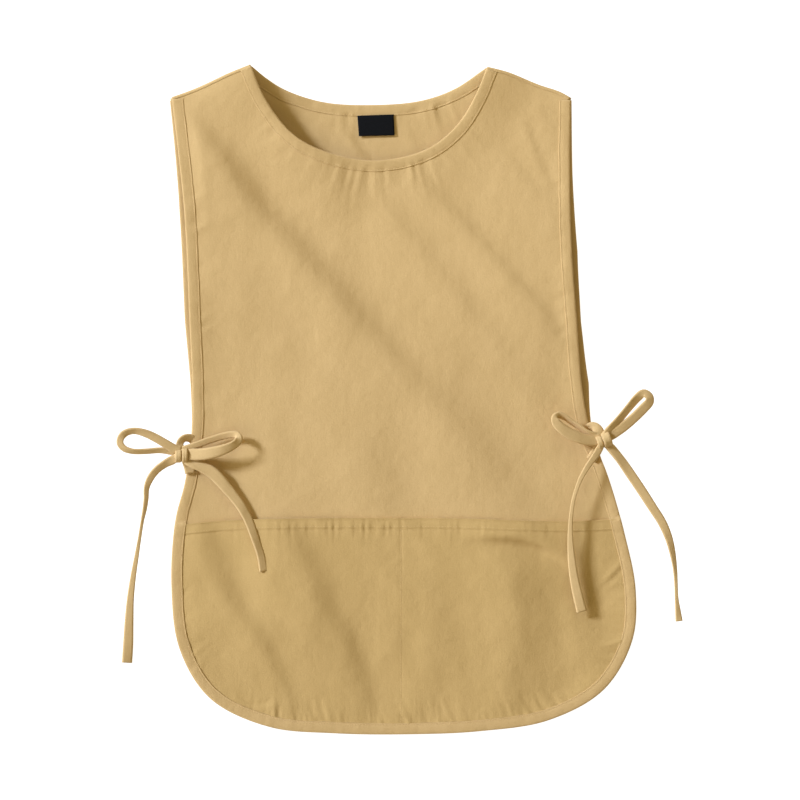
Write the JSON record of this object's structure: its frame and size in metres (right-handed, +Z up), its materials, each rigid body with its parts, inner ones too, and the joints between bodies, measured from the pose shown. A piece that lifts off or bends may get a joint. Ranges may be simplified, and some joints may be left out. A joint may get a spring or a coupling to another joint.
{
  "type": "cobbler apron",
  "caption": "Tan pullover cobbler apron laid flat, with open sides tied in bows, bound edges and a wide divided pocket across the lower front.",
  "frame": {"origin": "on the surface it lies on, under the middle of the body's length and width", "axes": "+X to the wearer's left, +Y from the hem to the shoulders, +Z up from the surface through the back and then the front"},
  "size_m": [0.6069, 0.713, 0.0363],
  "materials": {
    "cloth": "matte",
    "pocket": "matte",
    "binding": "matte",
    "tie": "matte",
    "label": "satin"
  },
  "bodies": {
    "root": {"back_panel": "cloth", "front_panel": "cloth", "front_pocket": "pocket", "front_edge_binding": "binding", "back_edge_binding": "binding", "front_neck_binding": "binding", "back_neck_binding": "binding", "right_shoulder_seam": "cloth", "left_shoulder_seam": "cloth", "neck_label": "label", "left_knot": "tie", "left_outer_loop": "tie", "left_inner_loop": "tie", "left_outer_tail": "tie", "left_inner_tail": "tie", "left_front_tie": "tie", "left_back_tie": "tie", "right_knot": "tie", "right_outer_loop": "tie", "right_inner_loop": "tie", "right_outer_tail": "tie", "right_inner_tail": "tie", "right_front_tie": "tie", "right_back_tie": "tie"}
  },
  "joints": []
}
